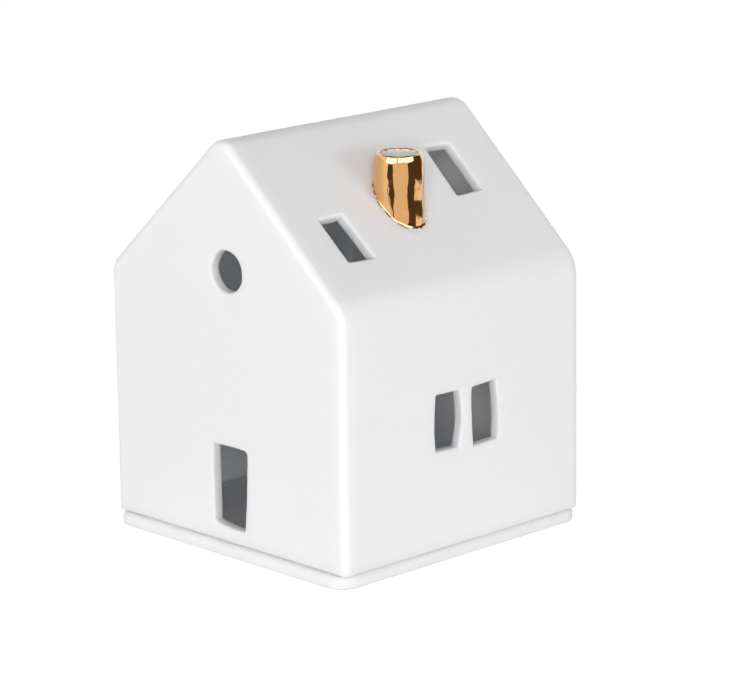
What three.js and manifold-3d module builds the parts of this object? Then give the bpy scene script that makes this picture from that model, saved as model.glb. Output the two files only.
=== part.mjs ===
// A porcelain tealight house. A slip-cast house shell, open below, stands loose on a square plate.
// It is lifted off to reach the tealight that burns on the plate, and the light shows through the
// door, the windows, the two skylights and the gilded chimney.
// Sizes are in millimetres, with +Z up. Z = 0 is the underside of the plate, and X = Y = 0 is the
// house's middle. The gable with the door faces -Y, and the wall with two windows faces +X.

import * as THREE from 'three';
import { mergeVertices } from 'three/addons/utils/BufferGeometryUtils.js';
import Module from 'manifold-3d';

const wasm = await Module();
wasm.setup();

// House shell
const HOUSE_WIDTH = 80; // along X, over the walls
const HOUSE_DEPTH = 80; // along Y, over the gables
const EAVE_HEIGHT = 61.3; // from the foot to where the wall's and the roof's faces would meet
const ROOF_PITCH = 42.25; // degrees from level
const WALL = 2.75;
const GABLE_EDGE_RADIUS = 3.5; // upright corners, and where a gable turns into the roof
const RIDGE_RADIUS = 5;
const CHIMNEY_SIDE_EAVE_RADIUS = 8.5;
const PLAIN_SIDE_EAVE_RADIUS = 5;
const SLACKEST_INNER_RADIUS = 0.6; // slip never leaves a sharper corner inside a mould

// Plate under the house, as wide and as deep as the house that stands loose on it
const PLATE_THICKNESS = 3.1;
const PLATE_TO_THE_RIGHT = 0.4; // from the house's middle to the plate's, along +X
const PLATE_TO_THE_FRONT = 0.8; // from the house's middle to the plate's, along -Y
const PLATE_CORNER_RADIUS = 5;
const PLATE_ROUNDING_ACROSS = 1.3; // how far the rounded edge reaches in over the plate
const PLATE_ROUNDING_UP = 1.4; // how far it reaches up the plate's side

// Door, in the front gable. Heights are from the foot of the wall.
const DOOR_MIDDLE = 1.8;
const DOOR_SILL = 4;
const DOOR_WIDTH = 11.8;
const DOOR_HEIGHT = 19.5;

// Round window, above the door
const ROUND_WINDOW_MIDDLE = 2.4;
const ROUND_WINDOW_ABOVE_EAVE = 4.3;
const ROUND_WINDOW_DIAMETER = 10.6;

// Two windows in the wall on the chimney's side
const SIDE_WINDOW_WIDTH = 9.4;
const SIDE_WINDOW_HEIGHT = 14.8;
const SIDE_WINDOW_SILL = 22.9;
const FRONT_SIDE_WINDOW_MIDDLE = -6;
const BACK_SIDE_WINDOW_MIDDLE = 6.4;

// Two skylights in the roof slope on the chimney's side
const SKYLIGHT_WIDTH = 9;
const SKYLIGHT_LENGTH = 15;
const FRONT_SKYLIGHT_MIDDLE = -24.4;
const FRONT_SKYLIGHT_ABOVE_EAVE = 11.4; // up the slope, to the skylight's lower edge
const BACK_SKYLIGHT_MIDDLE = 20.4;
const BACK_SKYLIGHT_BELOW_RIDGE = 15; // down the slope, to the skylight's upper edge

const OPENING_CORNER_RADIUS = 0.9;
const CUT_OVERRUN = 2; // how far a cut goes past both faces of the wall

// Chimney, a short upright tube luted to the roof
const CHIMNEY_FROM_RIDGE = 20.7; // level, from the ridge to the tube's axis
const CHIMNEY_MIDDLE = -1.9; // along the ridge
const CHIMNEY_RISE = 11.8; // from the roof at the axis to the rim
const CHIMNEY_DIAMETER = 11.8;
const CHIMNEY_RIM_DIAMETER = 10.9;
const CHIMNEY_BORE_DIAMETER = 9.3;
const CHIMNEY_SHOULDER = 2; // height in which the tube draws in below its rounded rim
const SEAT_GAP = 0.3; // between pieces that are shaped to each other

// Tealight
const CUP_DIAMETER = 38;
const CUP_HEIGHT = 15;
const CUP_WALL = 0.25;
const CUP_FOOT_RADIUS = 1.5;
const CUP_RIM_BEAD_RADIUS = 0.5;
const WAX_BELOW_RIM = 2.2;
const WAX_EDGE_RADIUS = 0.8;
const WICK_DIAMETER = 1.6;
const WICK_ABOVE_WAX = 7;
const SUSTAINER_DIAMETER = 13;
const SUSTAINER_THICKNESS = 0.3;
const COLLAR_WALL = 0.3;
const COLLAR_HEIGHT = 3;

// How finely round shapes are divided
const OUTLINE_ARC_STEPS = 3;
const ROUND_WINDOW_STEPS = 16;
const EDGE_STEPS = 5;
const CHIMNEY_SIDES = 44;
const CUP_SIDES = 44;
const WICK_SIDES = 12;
const PROFILE_ARC_STEPS = 4;

const pitch = THREE.MathUtils.degToRad(ROOF_PITCH);
const slopeLength = HOUSE_WIDTH / 2 / Math.cos(pitch);
const ridgeHeight = EAVE_HEIGHT + (HOUSE_WIDTH / 2) * Math.tan(pitch);
const chimneyBoreRadius = CHIMNEY_BORE_DIAMETER / 2;

// Solids

function toSolid(geometry) {
  const bare = geometry.clone();
  bare.deleteAttribute('normal');
  bare.deleteAttribute('uv');
  const merged = mergeVertices(bare);
  return new wasm.Manifold(new wasm.Mesh({
    numProp: 3,
    vertProperties: merged.attributes.position.array,
    triVerts: new Uint32Array(merged.index.array),
  }));
}

function toGeometry(solid) {
  const { vertProperties, triVerts } = solid.getMesh();
  const geometry = new THREE.BufferGeometry();
  geometry.setAttribute('position', new THREE.BufferAttribute(vertProperties, 3));
  geometry.setIndex(new THREE.BufferAttribute(triVerts, 1));
  geometry.computeVertexNormals();
  return geometry;
}

// A closed outline through corners given anticlockwise, each rounded by its own radius
function roundedOutline(corners) {
  const shape = new THREE.Shape();
  corners.forEach(({ x, y, radius }, index) => {
    const before = corners.at(index - 1);
    const after = corners[(index + 1) % corners.length];
    const back = new THREE.Vector2(before.x - x, before.y - y).normalize();
    const onward = new THREE.Vector2(after.x - x, after.y - y).normalize();
    const halfAngle = Math.acos(back.dot(onward)) / 2;
    const inward = back.clone().add(onward).normalize();
    const centre = inward.multiplyScalar(radius / Math.sin(halfAngle)).add({ x, y });
    const arcStart = Math.atan2(back.x, -back.y);
    const arcEnd = Math.atan2(-onward.x, onward.y);
    shape.absarc(centre.x, centre.y, radius, arcStart, arcEnd, false);
  });
  shape.closePath();
  return shape;
}

function roundedRectangle(width, height, radius) {
  return roundedOutline([
    { x: -width / 2, y: -height / 2, radius },
    { x: width / 2, y: -height / 2, radius },
    { x: width / 2, y: height / 2, radius },
    { x: -width / 2, y: height / 2, radius },
  ]);
}

function ring(profile, sides) {
  const points = profile.map(([radius, height]) => new THREE.Vector2(radius, height));
  return new THREE.LatheGeometry(points, sides).rotateX(Math.PI / 2);
}

// Points of a quarter turn about a centre, from one angle to another, both in quarter turns
function arcPoints(centreRadius, centreHeight, radius, from, to) {
  return Array.from({ length: PROFILE_ARC_STEPS + 1 }, (_, step) => {
    const angle = (from + ((to - from) * step) / PROFILE_ARC_STEPS) * (Math.PI / 2);
    return [centreRadius + radius * Math.cos(angle), centreHeight + radius * Math.sin(angle)];
  });
}

// House shell

// The house's full form, or the form of its hollow when it is drawn in by the wall. It reaches
// below the foot, where it is cut off flat.
function houseForm(inset) {
  const halfWidth = HOUSE_WIDTH / 2 - inset;
  const eave = EAVE_HEIGHT + inset * Math.tan(pitch) - inset / Math.cos(pitch);
  const ridge = eave + halfWidth * Math.tan(pitch);
  const edge = Math.max(GABLE_EDGE_RADIUS - inset, SLACKEST_INNER_RADIUS);
  const slackest = edge + SLACKEST_INNER_RADIUS;
  const drawnIn = (radius) => Math.max(radius - inset, slackest);
  const below = -slackest - CUT_OVERRUN;
  const outline = roundedOutline([
    { x: -halfWidth, y: below, radius: slackest },
    { x: halfWidth, y: below, radius: slackest },
    { x: halfWidth, y: eave, radius: drawnIn(CHIMNEY_SIDE_EAVE_RADIUS) },
    { x: 0, y: ridge, radius: drawnIn(RIDGE_RADIUS) },
    { x: -halfWidth, y: eave, radius: drawnIn(PLAIN_SIDE_EAVE_RADIUS) },
  ]);
  const straight = HOUSE_DEPTH - 2 * inset - 2 * edge;
  const form = new THREE.ExtrudeGeometry(outline, {
    depth: straight,
    curveSegments: OUTLINE_ARC_STEPS,
    bevelThickness: edge,
    bevelSize: edge,
    bevelOffset: -edge,
    bevelSegments: EDGE_STEPS,
  });
  return form.rotateX(Math.PI / 2).translate(0, straight / 2, 0);
}

// A cut through the wall with a given outline. Its own Z = 0 is the wall's outer face, +Z out.
function wallCut(outline) {
  const cut = new THREE.ExtrudeGeometry(outline, {
    depth: WALL + 2 * CUT_OVERRUN,
    curveSegments: OUTLINE_ARC_STEPS,
    bevelEnabled: false,
  });
  return cut.translate(0, 0, -WALL - CUT_OVERRUN);
}

// Each of these stands a cut or a block on one face of the house, outline upright. On the side
// wall and the roof its X runs along +Y, and on the roof its Y = 0 lies on the ridge line.
function onFrontGable(geometry) {
  return geometry.rotateX(Math.PI / 2).translate(0, -HOUSE_DEPTH / 2, 0);
}

function onSideWall(geometry) {
  return geometry.rotateX(Math.PI / 2).rotateZ(Math.PI / 2).translate(HOUSE_WIDTH / 2, 0, 0);
}

function leanedToRoof(geometry) {
  return geometry.rotateX(Math.PI / 2).rotateZ(Math.PI / 2).rotateY(pitch - Math.PI / 2);
}

function onRoof(geometry) {
  return leanedToRoof(geometry).translate(0, 0, ridgeHeight);
}

function doorCut() {
  const outline = roundedRectangle(DOOR_WIDTH, DOOR_HEIGHT, OPENING_CORNER_RADIUS);
  return onFrontGable(wallCut(outline).translate(DOOR_MIDDLE, DOOR_SILL + DOOR_HEIGHT / 2, 0));
}

function roundWindowCut() {
  const outline = new THREE.Shape();
  outline.absarc(0, 0, ROUND_WINDOW_DIAMETER / 2, 0, 2 * Math.PI, false);
  const cut = new THREE.ExtrudeGeometry(outline, {
    depth: WALL + 2 * CUT_OVERRUN,
    curveSegments: ROUND_WINDOW_STEPS,
    bevelEnabled: false,
  });
  cut.translate(ROUND_WINDOW_MIDDLE, EAVE_HEIGHT + ROUND_WINDOW_ABOVE_EAVE, -WALL - CUT_OVERRUN);
  return onFrontGable(cut);
}

function sideWindowCut(middle) {
  const outline = roundedRectangle(SIDE_WINDOW_WIDTH, SIDE_WINDOW_HEIGHT, OPENING_CORNER_RADIUS);
  const height = SIDE_WINDOW_SILL + SIDE_WINDOW_HEIGHT / 2;
  return onSideWall(wallCut(outline).translate(middle, height, 0));
}

function skylightCut(middle, downSlope) {
  const outline = roundedRectangle(SKYLIGHT_WIDTH, SKYLIGHT_LENGTH, OPENING_CORNER_RADIUS);
  return onRoof(wallCut(outline).translate(middle, -downSlope, 0));
}

// The flue goes on from the chimney's bore, upright through the roof
function flueCut() {
  const height = 2 * ridgeHeight;
  const cut = new THREE.CylinderGeometry(chimneyBoreRadius, chimneyBoreRadius, height, CHIMNEY_SIDES);
  return cut.rotateX(Math.PI / 2).translate(CHIMNEY_FROM_RIDGE, CHIMNEY_MIDDLE, ridgeHeight);
}

function houseShellGeometry() {
  const reach = 2 * Math.max(HOUSE_WIDTH, HOUSE_DEPTH, ridgeHeight);
  const aboveFoot = new THREE.BoxGeometry(reach, reach, reach).translate(0, 0, reach / 2);
  const frontDown = slopeLength - FRONT_SKYLIGHT_ABOVE_EAVE - SKYLIGHT_LENGTH / 2;
  const backDown = BACK_SKYLIGHT_BELOW_RIDGE + SKYLIGHT_LENGTH / 2;
  const cuts = [
    houseForm(WALL),
    doorCut(),
    roundWindowCut(),
    sideWindowCut(FRONT_SIDE_WINDOW_MIDDLE),
    sideWindowCut(BACK_SIDE_WINDOW_MIDDLE),
    skylightCut(FRONT_SKYLIGHT_MIDDLE, frontDown),
    skylightCut(BACK_SKYLIGHT_MIDDLE, backDown),
    flueCut(),
  ];
  const block = toSolid(houseForm(0));
  const shell = cuts.reduce((solid, cut) => solid.subtract(toSolid(cut)), block);
  return toGeometry(shell.intersect(toSolid(aboveFoot)));
}

// Chimney, with its own origin where its axis meets the roof. Its foot is cut to the slope.
function chimneyGeometry() {
  const rimRound = (CHIMNEY_RIM_DIAMETER - CHIMNEY_BORE_DIAMETER) / 4;
  const rimMiddle = chimneyBoreRadius + rimRound;
  const rimHeight = CHIMNEY_RISE - rimRound;
  const skirt = CHIMNEY_DIAMETER * Math.tan(pitch);
  const foot = [chimneyBoreRadius, -skirt];
  const tube = ring([
    foot,
    [CHIMNEY_DIAMETER / 2, -skirt],
    [CHIMNEY_DIAMETER / 2, rimHeight - CHIMNEY_SHOULDER],
    ...arcPoints(rimMiddle, rimHeight, rimRound, 0, 2),
    foot,
  ], CHIMNEY_SIDES);
  const reach = 2 * (CHIMNEY_RISE + skirt + CHIMNEY_DIAMETER);
  const aboveRoof = new THREE.BoxGeometry(reach, reach, reach);
  aboveRoof.translate(0, 0, reach / 2 + SEAT_GAP);
  return toGeometry(toSolid(tube).intersect(toSolid(leanedToRoof(aboveRoof))));
}

// Plate
function plateGeometry() {
  const outline = roundedRectangle(HOUSE_WIDTH, HOUSE_DEPTH, PLATE_CORNER_RADIUS);
  const plate = new THREE.ExtrudeGeometry(outline, {
    depth: PLATE_THICKNESS - 2 * PLATE_ROUNDING_UP,
    curveSegments: OUTLINE_ARC_STEPS,
    bevelThickness: PLATE_ROUNDING_UP,
    bevelSize: PLATE_ROUNDING_ACROSS,
    bevelOffset: -PLATE_ROUNDING_ACROSS,
    bevelSegments: EDGE_STEPS,
  });
  return plate.translate(PLATE_TO_THE_RIGHT, -PLATE_TO_THE_FRONT, PLATE_ROUNDING_UP);
}

// Tealight, with its own origin at the middle of the cup's underside

function cupGeometry() {
  const radius = CUP_DIAMETER / 2;
  const bead = CUP_RIM_BEAD_RADIUS;
  const inner = radius - CUP_WALL;
  const innerFoot = CUP_FOOT_RADIUS - CUP_WALL;
  return ring([
    [0, 0],
    ...arcPoints(radius - CUP_FOOT_RADIUS, CUP_FOOT_RADIUS, CUP_FOOT_RADIUS, -1, 0),
    ...arcPoints(radius, CUP_HEIGHT - bead, bead, -1, 1),
    [inner, CUP_HEIGHT],
    ...arcPoints(radius - CUP_FOOT_RADIUS, CUP_FOOT_RADIUS, innerFoot, 0, -1),
    [0, CUP_WALL],
  ], CUP_SIDES);
}

const waxTop = CUP_HEIGHT - WAX_BELOW_RIM;
const wickRadius = WICK_DIAMETER / 2;
const wickBore = wickRadius + SEAT_GAP;
const collarRadius = wickBore + COLLAR_WALL;

// The wax fills the cup, hollowed below round the sustainer and its collar, and bored for the wick
function waxGeometry() {
  const radius = CUP_DIAMETER / 2 - CUP_WALL - SEAT_GAP;
  const collarHollow = collarRadius + SEAT_GAP;
  const collarHollowTop = CUP_WALL + COLLAR_HEIGHT + SEAT_GAP;
  const plateHollow = SUSTAINER_DIAMETER / 2 + SEAT_GAP;
  const plateHollowTop = CUP_WALL + SUSTAINER_THICKNESS + SEAT_GAP;
  const footRound = CUP_FOOT_RADIUS;
  const topRound = WAX_EDGE_RADIUS;
  const start = [wickBore, collarHollowTop];
  return ring([
    start,
    [collarHollow, collarHollowTop],
    [collarHollow, plateHollowTop],
    [plateHollow, plateHollowTop],
    [plateHollow, CUP_WALL],
    ...arcPoints(radius - footRound, CUP_WALL + footRound, footRound, -1, 0),
    ...arcPoints(radius - topRound, waxTop - topRound, topRound, 0, 1),
    [wickBore, waxTop],
    start,
  ], CUP_SIDES);
}

function sustainerGeometry() {
  const start = [wickBore, CUP_WALL];
  return ring([
    start,
    [SUSTAINER_DIAMETER / 2, CUP_WALL],
    [SUSTAINER_DIAMETER / 2, CUP_WALL + SUSTAINER_THICKNESS],
    [collarRadius, CUP_WALL + SUSTAINER_THICKNESS],
    [collarRadius, CUP_WALL + COLLAR_HEIGHT],
    [wickBore, CUP_WALL + COLLAR_HEIGHT],
    start,
  ], CUP_SIDES);
}

function wickGeometry() {
  const length = waxTop + WICK_ABOVE_WAX - CUP_WALL;
  const wick = new THREE.CylinderGeometry(wickRadius, wickRadius, length, WICK_SIDES);
  return wick.rotateX(Math.PI / 2).translate(0, 0, CUP_WALL + length / 2);
}

// Finishes

const bisque = { color: 0xf2f2f0, roughness: 0.6, metalness: 0 };
const goldLustre = { color: 0xe0a45c, roughness: 0.12, metalness: 1 };
const pressedAluminium = { color: 0xc9ccd0, roughness: 0.35, metalness: 1 };
const paraffin = { color: 0xf6f2e8, roughness: 0.45, metalness: 0 };
const tinnedSteel = { color: 0xb9bcc0, roughness: 0.4, metalness: 1 };
const braidedCotton = { color: 0xf1ead9, roughness: 0.9, metalness: 0 };

function piece(name, geometry, finish) {
  const mesh = new THREE.Mesh(geometry, new THREE.MeshStandardMaterial(finish));
  mesh.name = name;
  return mesh;
}

// Assembly

const chimney = piece('chimney', chimneyGeometry(), goldLustre);
const roofAtChimney = ridgeHeight - CHIMNEY_FROM_RIDGE * Math.tan(pitch);
chimney.position.set(CHIMNEY_FROM_RIDGE, CHIMNEY_MIDDLE, roofAtChimney);

const house = new THREE.Group();
house.position.z = PLATE_THICKNESS;
house.add(piece('house_shell', houseShellGeometry(), bisque), chimney);

const tealight = new THREE.Group();
tealight.position.z = PLATE_THICKNESS;
tealight.add(
  piece('tealight_cup', cupGeometry(), pressedAluminium),
  piece('tealight_wax', waxGeometry(), paraffin),
  piece('wick_sustainer', sustainerGeometry(), tinnedSteel),
  piece('tealight_wick', wickGeometry(), braidedCotton),
);

const tealightHouse = new THREE.Group();
tealightHouse.add(piece('base_plate', plateGeometry(), bisque), house, tealight);

export default tealightHouse;
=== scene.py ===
"""Looks of a porcelain tealight house.

A slip-cast house shell with a gilded chimney stands loose over a tealight on a square plate. The
construction model is the fixed frame, and each piece here is modelled at full fineness in its place
around that frame. The gable with the door faces -Y, the wall with two windows and the chimney's
slope face +X. Lengths are in metres.
"""

import math
from collections import namedtuple

import bmesh
import bpy
from bmesh.types import BMFace, BMVert
from bpy.props import FloatProperty, FloatVectorProperty, IntProperty, PointerProperty
from mathutils import Matrix, Quaternion, Vector, noise


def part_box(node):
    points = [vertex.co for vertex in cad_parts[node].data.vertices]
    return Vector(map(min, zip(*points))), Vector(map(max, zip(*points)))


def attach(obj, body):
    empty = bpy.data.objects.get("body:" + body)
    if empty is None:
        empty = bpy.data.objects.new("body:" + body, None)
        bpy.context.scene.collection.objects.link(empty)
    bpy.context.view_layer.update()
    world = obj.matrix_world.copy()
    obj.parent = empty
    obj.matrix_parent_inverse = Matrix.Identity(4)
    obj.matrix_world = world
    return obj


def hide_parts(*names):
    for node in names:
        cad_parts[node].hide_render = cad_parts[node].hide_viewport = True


bl_info = {
    "name": "Porcelain Tealight House",
    "version": (1, 0, 0),
    "blender": (4, 5, 0),
    "location": "View3D > Sidebar > Tealight House",
    "description": "Models and dresses a slip-cast tealight house with a gilded chimney",
    "category": "Object",
}

MM = 0.001
X_AXIS = Vector((1, 0, 0))
Y_AXIS = Vector((0, 1, 0))
Z_AXIS = Vector((0, 0, 1))

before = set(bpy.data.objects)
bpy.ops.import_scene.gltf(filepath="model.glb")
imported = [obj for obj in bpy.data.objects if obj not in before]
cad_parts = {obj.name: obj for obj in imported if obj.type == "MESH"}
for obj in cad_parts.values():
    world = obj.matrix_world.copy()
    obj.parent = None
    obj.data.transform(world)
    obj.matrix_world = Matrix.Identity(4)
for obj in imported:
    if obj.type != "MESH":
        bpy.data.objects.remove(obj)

NOISE_SEED = 1
noise.seed_set(NOISE_SEED)  # otherwise the clock shifts the noise vectors from run to run

SHELL_LOW, SHELL_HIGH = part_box("house_shell")
CHIMNEY_LOW, CHIMNEY_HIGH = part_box("chimney")
PLATE_LOW, PLATE_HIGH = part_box("base_plate")
CUP_LOW, CUP_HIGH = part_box("tealight_cup")
WAX_LOW, WAX_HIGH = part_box("tealight_wax")
WICK_LOW, WICK_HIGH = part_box("tealight_wick")

FOOT = SHELL_LOW.z
HALF_WIDTH = SHELL_HIGH.x
HALF_DEPTH = SHELL_HIGH.y
CHIMNEY_AXIS = (CHIMNEY_LOW + CHIMNEY_HIGH) / 2

# An opening is cut by hand in one face of the house. Its corners are in millimetres, anticlockwise
# from the lower left as seen from outside: across from the face's middle, up from the foot or, on
# the roof, from the ridge line, and the radius that the knife left there. Each side, from the lower
# one on, bows outwards in its middle. The arris is the radius of the sponged outer edge.
Opening = namedtuple("Opening", "face corners bows arris")
OPENINGS = {
    "door": Opening(
        "gable", ((-4.6, 4.35, 0.7), (5.9, 3.7, 0.3), (7.4, 23.45, 1.1), (-4.6, 23.35, 0.5)),
        (0.35, 0.2, 0.15, 0), 0.5,
    ),
    "front_side_window": Opening(
        "side", ((-9.7, 23.6, 0.4), (-2.1, 23.4, 0.4), (-1.8, 36.9, 0.4), (-9.6, 37.1, 0.4)),
        (0, 0.8, 0, 0.35), 0.7,
    ),
    "back_side_window": Opening(
        "side", ((2.9, 22.7, 0.4), (10.8, 22.95, 0.4), (10.1, 37.2, 0.4), (2.3, 36.8, 0.4)),
        (0, 0.5, 0, 0.2), 0.7,
    ),
    "front_skylight": Opening(
        "roof", ((-27.2, -40.7, 0.3), (-19.4, -41.0, 0.3), (-20.3, -28.1, 0.3), (-27.6, -28.3, 0.3)),
        (0, 0, 0, 0), 0.8,
    ),
    "back_skylight": Opening(
        "roof", ((16.4, -29.25, 0.3), (24.8, -29.0, 0.3), (24.7, -14.7, 0.3), (16.7, -14.2, 0.3)),
        (0, 0, 0, 0), 0.8,
    ),
}
SIDE_CUTS = 9  # points along an opening's side, for its bow and its wobble
CORNER_STEPS = 5  # steps round an opening's corner
NEAR = 0.01 * MM  # points closer than this count as lying on the same line or plane
DOUBLED = 0.001 * MM  # points closer than this are one point
SLIVER = 0.08 * MM  # edges shorter than this, left where cuts cross, are closed up


def linear(hex_colour):
    """Linear RGBA of an sRGB hex colour."""
    channels = [int(hex_colour[i:i + 2], 16) / 255 for i in (1, 3, 5)]
    return tuple(c / 12.92 if c <= 0.04045 else ((c + 0.055) / 1.055) ** 2.4 for c in channels) + (1.0,)


def length(name, description, millimetres):
    """A length setting with its default in millimetres."""
    return FloatProperty(
        name=name, description=description, default=millimetres * MM, unit="LENGTH", precision=5
    )


def angle(name, description, degrees):
    """An angle setting with its default in degrees."""
    return FloatProperty(
        name=name, description=description, default=math.radians(degrees), subtype="ANGLE"
    )


def power(name, description, watts):
    """A setting for a lamp's power, with its default in watts."""
    return FloatProperty(name=name, description=description, default=watts, unit="POWER")


def colour(name, description, hex_colour):
    """A colour setting with an sRGB hex default."""
    return FloatVectorProperty(
        name=name, description=description, default=linear(hex_colour), size=4, subtype="COLOR"
    )


class ShellSizes(bpy.types.PropertyGroup):
    """Sizes of the slip-cast house shell."""

    eave_height: length("Eave Height", "From the foot to where wall and roof would meet", 61.3)
    roof_pitch: angle("Roof Pitch", "Slope of both roof faces", 42.25)
    wall: length("Wall", "Thickness of the cast wall", 2.75)
    front_set_back: length("Front Set Back", "How far the front gable stands back from the frame's", 0.7)
    front_edge_radius: length("Front Edge Radius", "Rounding of the front gable's corners and verges", 1.8)
    back_edge_radius: length("Back Edge Radius", "Rounding of the back gable's corners and verges", 3.5)
    ridge_radius: length("Ridge Radius", "Rounding of the ridge", 5)
    chimney_side_eave_radius: length("Chimney Side Eave Radius", "Rounding of the eave by the chimney", 8.5)
    plain_side_eave_radius: length("Plain Side Eave Radius", "Rounding of the other eave", 5)
    inner_arris_radius: length("Inner Arris Radius", "Rounding of the cut edges inside the house", 0.3)
    foot_arris_radius: length("Foot Arris Radius", "Rounding of the foot's outer edge", 0.4)
    round_window_width: length("Round Window Width", "Width of the round window", 10.5)
    round_window_height: length("Round Window Height", "Height of the round window", 9.9)
    round_window_across: length("Round Window Across", "Round window's middle, across the gable", 1.45)
    round_window_above: length("Round Window Above", "Round window's middle, above the foot", 65.4)
    round_window_arris: length("Round Window Arris", "Rounding of the round window's outer edge", 0.7)
    knife_wobble: length("Knife Wobble", "How far a hand-cut edge strays from a straight line", 0.12)
    slump: length("Slump", "How far the soft clay sagged before and in the firing", 0.14)
    slump_wave: length("Slump Wave", "Length of the waves that the sagging left in the walls", 34)
    cell: length("Cell", "Size of the cells that the walls are divided into", 4)


class ChimneySizes(bpy.types.PropertyGroup):
    """Sizes of the gilded chimney."""

    diameter: length("Diameter", "Over the tube's wall", 11.8)
    rim_diameter: length("Rim Diameter", "Over the tube's wall, where its rounded rim begins", 10.9)
    bore_diameter: length("Bore Diameter", "Inside the tube", 9.3)
    shoulder: length("Shoulder", "Height in which the tube draws in below its rim", 2)
    rise: length("Rise", "From the roof at the tube's axis to the rim", 11.8)
    fillet_width: length("Fillet Width", "How far the joining slip reaches out on the roof", 0.35)
    fillet_height: length("Fillet Height", "How far the joining slip reaches up the tube", 0.5)
    gilding_edge: length("Gilding Edge", "Height of the lustre's painted edge above the roof", 0.05)
    gilding_inside: length("Gilding Inside", "How far the lustre goes down inside, from the rim's top", 0.4)
    dent: length("Dent", "How far the hand-rolled tube strays from round", 0.12)
    ripple: length("Ripple", "Depth of the fine waves under the lustre", 0.015)
    sides: IntProperty(name="Sides", description="Steps round the tube", default=192)


class PlateSizes(bpy.types.PropertyGroup):
    """Sizes of the plate under the house."""

    corner_radius: length("Corner Radius", "Rounding of the plate's four corners", 5)
    upper_radius: length("Upper Radius", "Rounding of the plate's upper edge", 1.4)
    lower_radius: length("Lower Radius", "Rounding of the plate's lower edge", 0.6)
    waver: length("Waver", "How far the sponged edge strays from a straight line", 0.12)
    cell: length("Cell", "Size of the cells that the plate is divided into", 4)


class TealightSizes(bpy.types.PropertyGroup):
    """Sizes of the tealight."""

    cup_wall: length("Cup Wall", "Thickness of the pressed cup, as drawn", 0.25)
    cup_foot_radius: length("Cup Foot Radius", "Rounding between the cup's bottom and side", 1.5)
    bead_radius: length("Bead Radius", "Radius of the rolled rim", 0.5)
    pleats: IntProperty(name="Pleats", description="Fine upright folds that pressing leaves", default=90)
    pleat_depth: length("Pleat Depth", "Depth of the upright folds", 0.05)
    meniscus: length("Meniscus", "How far the wax climbs at the cup and sinks round the wick", 0.5)
    strands: IntProperty(name="Strands", description="Strands braided into the wick", default=3)
    braid_turn: length("Braid Turn", "Length of wick in which a strand goes once round", 4.5)


class FinishColours(bpy.types.PropertyGroup):
    """Colours of the finishes."""

    bisque: colour("Bisque", "Fired white porcelain, unglazed and polished", "#EFEFF0")
    bisque_shade: colour("Bisque Shade", "Where the body's tone is a touch cooler", "#EDEEF0")
    lustre: colour("Lustre", "Burnished gold lustre over glaze", "#EFB56E")
    lustre_edge: colour("Lustre Edge", "Where the lustre was laid too thick and burnt", "#4A2808")
    aluminium: colour("Aluminium", "Pressed aluminium foil", "#F0F1F2")
    wax: colour("Wax", "White paraffin", "#F7F3EA")
    cotton: colour("Cotton", "Waxed cotton wick", "#EFE6D2")
    tin: colour("Tin", "Tinned steel", "#B9BCC0")


class StageSettings(bpy.types.PropertyGroup):
    """The camera, the lights and the floor."""

    azimuth: angle("Azimuth", "Camera's turn from the front gable", 46.15)
    elevation: angle("Elevation", "Camera's height above level", 14.13)
    roll: angle("Roll", "Camera's tilt to one side", -0.76)
    distance: length("Distance", "From the camera to the point that it looks at", 821.9)
    lens: FloatProperty(name="Lens", description="Focal length in millimetres", default=167.8)
    fill: FloatProperty(name="Fill", description="Strength of the even light from all round", default=0.4)
    left_lamp: power("Left Lamp", "Power of the left softbox", 9.2)
    right_lamp: power("Right Lamp", "Power of the right softbox", 7.3)
    front_lamp: power("Front Lamp", "Power of the front softbox", 21.0)


class TealightHouse(bpy.types.PropertyGroup):
    """All settings of the tealight house."""

    shell: PointerProperty(type=ShellSizes)
    chimney: PointerProperty(type=ChimneySizes)
    plate: PointerProperty(type=PlateSizes)
    tealight: PointerProperty(type=TealightSizes)
    finish: PointerProperty(type=FinishColours)
    stage: PointerProperty(type=StageSettings)


# Materials


def add_node(tree, kind, settings, inputs):
    """Adds a shader node. An input is set to a value, or linked where an output socket is given."""
    node = tree.nodes.new("ShaderNode" + kind)
    for name, value in settings.items():
        setattr(node, name, value)
    for socket, value in inputs.items():
        if isinstance(value, bpy.types.NodeSocket):
            tree.links.new(value, node.inputs[socket])
        else:
            node.inputs[socket].default_value = value
    return node


def new_material(name):
    """An empty node material and its tree."""
    material = bpy.data.materials.new(name)
    material.use_nodes = True
    material.node_tree.nodes.clear()
    return material, material.node_tree


def per_metre(millimetres):
    """Noise scale for features of a real size, on coordinates in metres."""
    return 1 / (millimetres * MM)


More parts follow.
